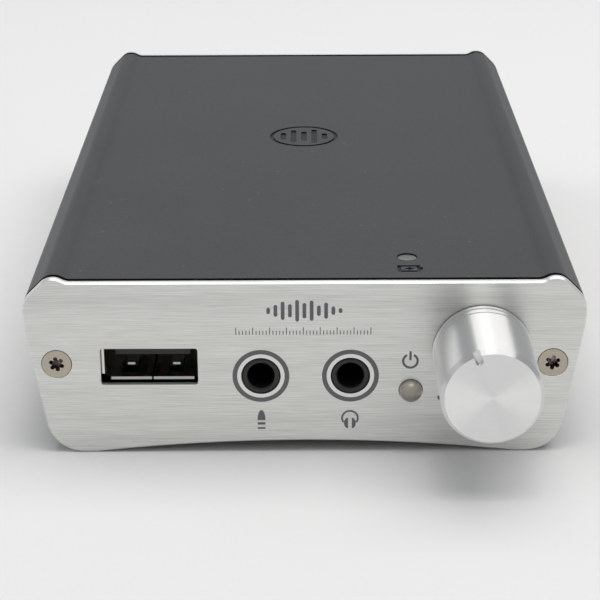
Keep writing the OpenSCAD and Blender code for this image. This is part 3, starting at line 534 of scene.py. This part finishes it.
def board_finish():
    """Green solder mask over copper: tracks show as lighter lines, and vias as small rings."""
    via_inner, via_outer = 0.06, 0.14
    black, white = (0, 0, 0, 1), (1, 1, 1, 1)
    material, tree, shader = blank("board_green", {"Coat Weight": 0.3, "Coat Roughness": 0.25})
    where = place_mm(tree)
    tracks = add(tree, "TexBrick", {
        "Vector": where, "Scale": 0.45, "Mortar Size": 0.035, "Brick Width": 1.9,
        "Row Height": 0.55, "Color1": black, "Color2": black, "Mortar": white}, offset=0.37)
    from_via = add(tree, "TexVoronoi", {"Vector": where, "Scale": 0.42}).outputs["Distance"]
    ring = product(tree, calc(tree, "LESS_THAN", from_via, via_outer),
                   calc(tree, "GREATER_THAN", from_via, via_inner))
    grain = use(tree, GRAIN, Size_mm=0.2)
    mask = blend(tree, grain["Grain"], MASK_DARK, MASK_LIGHT)
    tracked = blend(tree, tracks.outputs["Fac"], mask, TRACK)
    colour(tree, shader, blend(tree, ring, tracked, VIA))
    gloss(tree, shader, spread(tree, grain["Clouds"], 0.3, 0.42))
    bump(tree, shader, calc(tree, "MAXIMUM", tracks.outputs["Fac"], ring), 0.03)
    return material


def foam_finish():
    """Open-celled foam; painted shade darkens the middle of each pore."""
    material, tree, shader = blank("foam_grey", {"Sheen Weight": 0.2})
    cells = add(tree, "TexVoronoi", {"Vector": place_mm(tree), "Scale": 2.4}).outputs["Distance"]
    grain = use(tree, GRAIN, Size_mm=0.3)
    # Painted shade, darkest in the middle of each pore
    pore_shade = spread(tree, cells, 1.0, 0.0, 0.1, 0.7)
    colour(tree, shader, blend(tree, pore_shade, shade(0.055), shade(0.022)))
    gloss(tree, shader, spread(tree, grain["Grain"], 0.85, 1.0))
    bump(tree, shader, cells, 0.3)
    return material


def laminate_finish():
    """Paper laminate of the resistance track's carrier, with its fibres along X."""
    material, tree, shader = blank("track_phenolic")
    fibres = use(tree, BRUSHED, Length_mm=2.5, Spacing_mm=0.25)
    colour(tree, shader, blend(tree, fibres["Lines"], LAMINATE_DARK, LAMINATE_LIGHT))
    gloss(tree, shader, spread(tree, fibres["Drift"], 0.45, 0.6))
    bump(tree, shader, fibres["Lines"], 0.02)
    return material


# Name, dark, light, roughness, grain size in mm, depth in mm and values fixed on the shader
GRAINED = [
    # The gasket's own black, taken down to almost nothing with its reflection turned off, as
    # painted shadow of the gap between plate and sleeve
    ("gasket_black", shade(0.001), shade(0.003), 0.9, 0.1, 0.02, {"Specular IOR Level": 0.02}),
    ("nylon_black", shade(0.012), shade(0.03), 0.5, 0.25, 0.01),
    ("plated_steel", STEEL_DARK, STEEL_LIGHT, 0.32, 0.3, 0.004, METAL),
    ("contact_gold", GOLD_DARK, GOLD_LIGHT, 0.24, 0.2, 0.003, METAL),
    ("switch_plastic", shade(0.018), shade(0.035), 0.45, 0.2, 0.01),
    ("usb_nickel", USB_DARK, USB_LIGHT, 0.22, 0.4, 0.004, METAL),
    ("tongue_grey", shade(0.014), shade(0.03), 0.4, 0.15, 0.006),
    ("socket_black", shade(0.006), shade(0.014), 0.34, 0.15, 0.005),
    ("lever_black", shade(0.008), shade(0.02), 0.4, 0.15, 0.006),
    ("chip_black", shade(0.01), shade(0.024), 0.55, 0.12, 0.012),
    ("can_aluminium", CAN_DARK, CAN_LIGHT, 0.3, 0.3, 0.004, METAL),
    ("film_red", FILM_DARK, FILM_LIGHT, 0.38, 0.5, 0.02),
    ("ferrite_grey", shade(0.06), shade(0.11), 0.6, 0.15, 0.015),
    ("cell_blue", CELL_DARK, CELL_LIGHT, 0.3, 1.0, 0.03, {"Coat Weight": 0.4}),
    ("tray_aluminium", TRAY_DARK, TRAY_LIGHT, 0.36, 0.3, 0.005, METAL),
    ("wire_red", WIRE_DARK, WIRE_LIGHT, 0.42, 0.2, 0.006),
    ("plug_cream", CREAM_DARK, CREAM_LIGHT, 0.42, 0.2, 0.006),
]

FINISHES = {row[0]: grained(*row) for row in GRAINED}
FINISHES["sleeve_anodised"] = sleeve_finish()
FINISHES["plate_silver"] = plate_finish()
FINISHES["screw_nickel"] = screw_finish()
FINISHES["knob_aluminium"] = knob_finish()
FINISHES["track_phenolic"] = laminate_finish()
FINISHES["dome_grey"] = dome_finish()
FINISHES["pipe_clear"] = pipe_finish()
FINISHES["board_green"] = board_finish()
FINISHES["foam_grey"] = foam_finish()

# Screen-printed ink, bare turned metal round a socket, and the stage's matt paper
PRINT_GREY = grained("print_grey", shade(0.105, -0.03), shade(0.15, -0.03), 0.55, 0.08, 0.003)
SOCKET_BRIGHT = grained("socket_bright", TURNED_DARK, TURNED_LIGHT, 0.3, 0.2, 0.003, METAL)
PALE_PAPER = grained(
    "pale_paper", shade(0.76), shade(0.79), 0.9, 1.2, 0.02, {"Specular IOR Level": 0.2})


# ---------------------------------------------------------------------------
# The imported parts: smooth arcs, crisp edges and their finishes
# ---------------------------------------------------------------------------


def make_soften_facets():
    """Joins a part's loose faces and shades them smoothly, with a crease at every real edge."""
    crease = math.radians(24)
    weld = 0.001 * MM
    tree = bpy.data.node_groups.new("soften_facets", "GeometryNodeTree")
    tree.interface.new_socket("Geometry", in_out="INPUT", socket_type="NodeSocketGeometry")
    tree.interface.new_socket("Geometry", in_out="OUTPUT", socket_type="NodeSocketGeometry")
    start, end = tree.nodes.new("NodeGroupInput"), tree.nodes.new("NodeGroupOutput")
    plain = tree.nodes.new("GeometryNodeRemoveAttribute")
    plain.inputs["Name"].default_value = "custom_normal"
    joined = tree.nodes.new("GeometryNodeMergeByDistance")
    joined.inputs["Distance"].default_value = weld
    smooth = tree.nodes.new("GeometryNodeSetShadeSmooth")
    angle = tree.nodes.new("GeometryNodeInputMeshEdgeAngle")
    sharp = tree.nodes.new("FunctionNodeCompare")
    sharp.operation = "GREATER_THAN"
    sharp.inputs[1].default_value = crease
    creased = tree.nodes.new("GeometryNodeSetShadeSmooth")
    creased.domain = "EDGE"
    creased.inputs["Shade Smooth"].default_value = False
    links = tree.links
    links.new(start.outputs[0], plain.inputs["Geometry"])
    links.new(plain.outputs["Geometry"], joined.inputs["Geometry"])
    links.new(joined.outputs["Geometry"], smooth.inputs["Geometry"])
    links.new(angle.outputs["Unsigned Angle"], sharp.inputs[0])
    links.new(smooth.outputs["Geometry"], creased.inputs["Geometry"])
    links.new(sharp.outputs[0], creased.inputs["Selection"])
    links.new(creased.outputs["Geometry"], end.inputs[0])
    return tree


def dress_parts():
    """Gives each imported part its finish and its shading."""
    soften = make_soften_facets()
    for part in frame["nodes"].values():
        finish = FINISHES[part.data.materials[0].name]
        part.data.materials.clear()
        part.data.materials.append(finish)
        part.modifiers.new("soften_facets", "NODES").node_group = soften
        flats = part.modifiers.new("flat_faces_stay_flat", "WEIGHTED_NORMAL")
        flats.keep_sharp = True
        flats.weight = 100


dress_parts()


# ---------------------------------------------------------------------------
# Printed marks: thin films of ink that lie on the end plates
# ---------------------------------------------------------------------------

INK = 0.012 * MM
SUNK = 0.004 * MM


class Film:
    """Ink on one end plate; X, heights and radii are in millimetres."""

    def __init__(self, face, outward):
        self.mesh = bmesh.new()
        self.face = face
        self.outward = outward

    def _point(self, x, z, lift):
        return self.mesh.verts.new((x * MM, self.face + self.outward * lift, z * MM))

    def _strip(self, left, right, closed):
        """Closed film between two lines of points that run side by side."""
        rings = []
        for (x0, z0), (x1, z1) in zip(left, right):
            rings.append([self._point(x0, z0, -SUNK), self._point(x0, z0, INK),
                          self._point(x1, z1, INK), self._point(x1, z1, -SUNK)])
        pairs = list(zip(rings, rings[1:]))
        if closed:
            pairs.append((rings[-1], rings[0]))
        for a, b in pairs:
            for i in range(4):
                j = (i + 1) % 4
                self.mesh.faces.new((a[i], a[j], b[j], b[i]))
        if not closed:
            self.mesh.faces.new(rings[0])
            self.mesh.faces.new(rings[-1])

    def shape(self, points):
        """Filled outline."""
        low = [self._point(x, z, -SUNK) for x, z in points]
        high = [self._point(x, z, INK) for x, z in points]
        self.mesh.faces.new(low)
        self.mesh.faces.new(high)
        count = len(points)
        for i in range(count):
            j = (i + 1) % count
            self.mesh.faces.new((low[i], low[j], high[j], high[i]))

    def ring(self, x, z, inner, outer, start=0.0, stop=360.0):
        """Ring, or part of one between two angles in degrees, counted from X towards Z."""
        degrees_per_step = 5
        closed = stop - start >= 360
        steps = max(8, round((stop - start) / degrees_per_step))
        turns = [math.radians(start + (stop - start) * i / steps)
                 for i in range(steps + (not closed))]
        self._strip([(x + inner * math.cos(a), z + inner * math.sin(a)) for a in turns],
                    [(x + outer * math.cos(a), z + outer * math.sin(a)) for a in turns], closed)

    def bar(self, x0, z0, x1, z1):
        self.shape([(x0, z0), (x1, z0), (x1, z1), (x0, z1)])

    def stem(self, x, z0, z1, width):
        """Upright bar with round ends."""
        r = width / 2
        top = [(x + r * math.cos(a), z1 - r + r * math.sin(a)) for a in half_turn(0)]
        foot = [(x + r * math.cos(a), z0 + r + r * math.sin(a)) for a in half_turn(180)]
        self.shape(top + foot)

    def dot(self, x, z, radius):
        sides = 32
        self.shape([(x + radius * math.cos(a), z + radius * math.sin(a))
                    for a in (math.tau * i / sides for i in range(sides))])

    def finished(self, name, finish):
        """The film as one piece that rides on the case."""
        bmesh.ops.recalc_face_normals(self.mesh, faces=self.mesh.faces)
        data = bpy.data.meshes.new(name)
        self.mesh.to_mesh(data)
        self.mesh.free()
        data.materials.append(finish)
        piece = bpy.data.objects.new(name, data)
        bpy.context.scene.collection.objects.link(piece)
        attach(piece, "chassis")


def half_turn(start):
    """Angles over half a circle, from a start in degrees."""
    return [math.radians(start + 15 * i) for i in range(13)]


def power_symbol(film, x, z):
    stroke = 0.32
    outer = 1.13
    gap = 28
    film.ring(x, z, outer - stroke, outer, 90 + gap, 450 - gap)
    film.stem(x, z + 0.1, z + 1.46, stroke)


def headphone_symbol(film, x, z):
    stroke = 0.27
    band = 1.2
    band_start, band_stop = -36, 216
    pad_reach, pad_half_width = 0.26, 0.54
    pad_drop, pad_half_height = 0.75, 0.8
    film.ring(x, z, band - stroke, band, band_start, band_stop)
    for side in (-1, 1):
        film.shape([(x + side * (pad_reach + pad_half_width * math.cos(a)),
                     z - pad_drop + pad_half_height * math.sin(a)) for a in half_turn(-90)])


def plug_symbol(film, x, z):
    """A pointed sleeve over two short bars, for the line output."""
    half = 0.53
    shoulder = 0.4
    point_height, point_power = 1.14, 1.4
    point = [(x + half * math.cos(a), z + shoulder + point_height * math.sin(a) ** point_power)
             for a in half_turn(0)[1:-1]]
    film.shape(point + [(x - half, z + shoulder), (x - half, z),
                        (x + half, z), (x + half, z + shoulder)])
    for low, high in ((-0.67, -0.31), (-1.32, -1.05)):
        film.bar(x - half, z + low, x + half, z + high)


def level_bars(film, x, z):
    """Sound levels as a row of upright bars."""
    heights = [0.9, 1.7, 2.6, 1.9, 3.1, 2.2, 2.9, 1.5, 2.3, 1.2, 0.7]
    step = 0.96
    width = 0.5
    for i, height in enumerate(heights):
        place = x + (i - (len(heights) - 1) / 2) * step
        film.stem(place, z - height / 2, z + height / 2, width)


def tick_scale(film, x, z):
    """Fine scale under the level bars."""
    step = 0.45
    count = 41
    ticks_per_long_one = 5
    long_tick, short_tick = 1.05, 0.6
    half_width = 0.06
    foot = z - 0.5
    for i in range(count):
        place = x + (i - (count - 1) / 2) * step
        height = long_tick if i % ticks_per_long_one == 0 else short_tick
        film.bar(place - half_width, foot, place + half_width, foot + height)


SOCKET_HEIGHT_MM = 11.36


def print_front():
    ring_inner, ring_outer = 3.2, 3.83
    limit_dot_reach, limit_dot_height, limit_dot_radius = 5.47, 8.1, 0.35
    film = Film(FRONT_FACE, -1)
    for socket in (LINE_SOCKET, PHONES_SOCKET):
        film.ring(socket.x / MM, SOCKET_HEIGHT_MM, ring_inner, ring_outer)
    power_symbol(film, POWER_LIGHT.x / MM - 0.12, 13.5)
    headphone_symbol(film, PHONES_SOCKET.x / MM - 0.03, 5.05)
    plug_symbol(film, LINE_SOCKET.x / MM, 4.77)
    level_bars(film, 0.0, 20.85)
    tick_scale(film, -0.15, 17.9)
    for side in (-1, 1):
        film.dot(KNOB.x / MM + side * limit_dot_reach, limit_dot_height, limit_dot_radius)
    film.finished("front_print", PRINT_GREY)


def print_socket_rings():
    """Bright turned rings between each socket's collar and its printed ring."""
    inner, outer = 2.67, 3.18
    film = Film(FRONT_FACE, -1)
    for socket in (LINE_SOCKET, PHONES_SOCKET):
        film.ring(socket.x / MM, SOCKET_HEIGHT_MM, inner, outer)
    film.finished("socket_rings", SOCKET_BRIGHT)


def print_rear():
    inlet_x, inlet_z = middle("dc_inlet_body").x / MM, 20.6
    port_x, port_z = middle("optical_housing").x / MM, 20.9
    dot = 0.36
    film = Film(REAR_FACE, 1)
    # Charging inlet: an open ring round a dot
    film.ring(inlet_x, inlet_z, 0.75, 1.0, 30, 330)
    film.dot(inlet_x, inlet_z, dot)
    # Optical output: a dot between two arcs
    film.dot(port_x, port_z, dot)
    for bearing in (0, 180):
        film.ring(port_x, port_z, 0.75, 0.98, bearing - 40, bearing + 40)
    # Switches: a stroke for each position, taller from one to the next, and a line below
    for name, places in (("gain", (0, 2)), ("filter", (-2, 0, 2)), ("mode", (-2, 0, 2))):
        lever = middle(name + "_switch_lever").x / MM
        for i, place in enumerate(places):
            film.stem(lever + place, 12.6, 13.3 + 0.5 * i, 0.32)
        film.bar(lever + places[0] - 0.8, 8.0, lever + places[-1] + 0.8, 8.16)
    film.finished("rear_print", PRINT_GREY)


print_front()
print_socket_rings()
print_rear()


# ---------------------------------------------------------------------------
# Stage, light and camera
# ---------------------------------------------------------------------------


def build_floor():
    """A wide sheet of pale paper that the amplifier stands on."""
    reach = 4.0
    sheet = bmesh.new()
    bmesh.ops.create_grid(sheet, x_segments=8, y_segments=8, size=reach)
    data = bpy.data.meshes.new("paper_floor")
    sheet.to_mesh(data)
    sheet.free()
    data.materials.append(PALE_PAPER)
    floor = bpy.data.objects.new("paper_floor", data)
    bpy.context.scene.collection.objects.link(floor)


def build_softbox(name, place, target, width, height, watts, tint=(1.0, 1.0, 1.0)):
    light = bpy.data.lights.new(name, "AREA")
    light.shape = "RECTANGLE"
    light.size, light.size_y = width, height
    light.energy = watts
    light.color = tint
    lamp = bpy.data.objects.new(name, light)
    lamp.location = place
    lamp.rotation_euler = (Vector(target) - Vector(place)).to_track_quat("-Z", "Y").to_euler()
    bpy.context.scene.collection.objects.link(lamp)


def build_lights():
    cool, warm = (0.95, 0.975, 1.0, 1), (1.0, 0.985, 0.96)
    world = bpy.data.worlds.new("pale_room")
    bpy.context.scene.world = world
    world.use_nodes = True
    room = world.node_tree.nodes["Background"]
    room.inputs["Color"].default_value = cool
    room.inputs["Strength"].default_value = 0.455
    build_softbox("overhead_softbox", (0.2, 0.05, 0.75), (0.2, 0.05, 0.0), 0.9, 0.8, 4.9, warm)
    build_softbox("ceiling_lamp", (0.03, -0.13, 0.75), (0.03, -0.13, 0.0), 0.14, 0.06, 0.31, warm)
    build_softbox("left_softbox", (-0.8, 0.35, 0.4), (0.0, 0.05, 0.0), 0.6, 0.5, 1.3)


def build_camera():
    """Camera above and in front of the case, tilted down at it."""
    tilt, swing, lean = math.radians(22.227), math.radians(0.179), math.radians(-0.284)
    aside, before, above = 0.114 * MM, 219.887 * MM, 112.248 * MM
    lens = bpy.data.cameras.new("bench_camera")
    lens.sensor_width = 36.0
    lens.lens = 107.8
    lens.clip_start = 0.01
    camera = bpy.data.objects.new("bench_camera", lens)
    level = Matrix.Rotation(math.radians(90), 4, "X")
    turn = (level @ Matrix.Rotation(swing, 4, "Y")
            @ Matrix.Rotation(-tilt, 4, "X") @ Matrix.Rotation(lean, 4, "Z"))
    camera.matrix_world = Matrix.Translation((aside, FRONT_FACE - before, above)) @ turn
    bpy.context.scene.collection.objects.link(camera)
    bpy.context.scene.camera = camera


build_floor()
build_lights()
build_camera()
bpy.context.scene.view_settings.view_transform = "Standard"
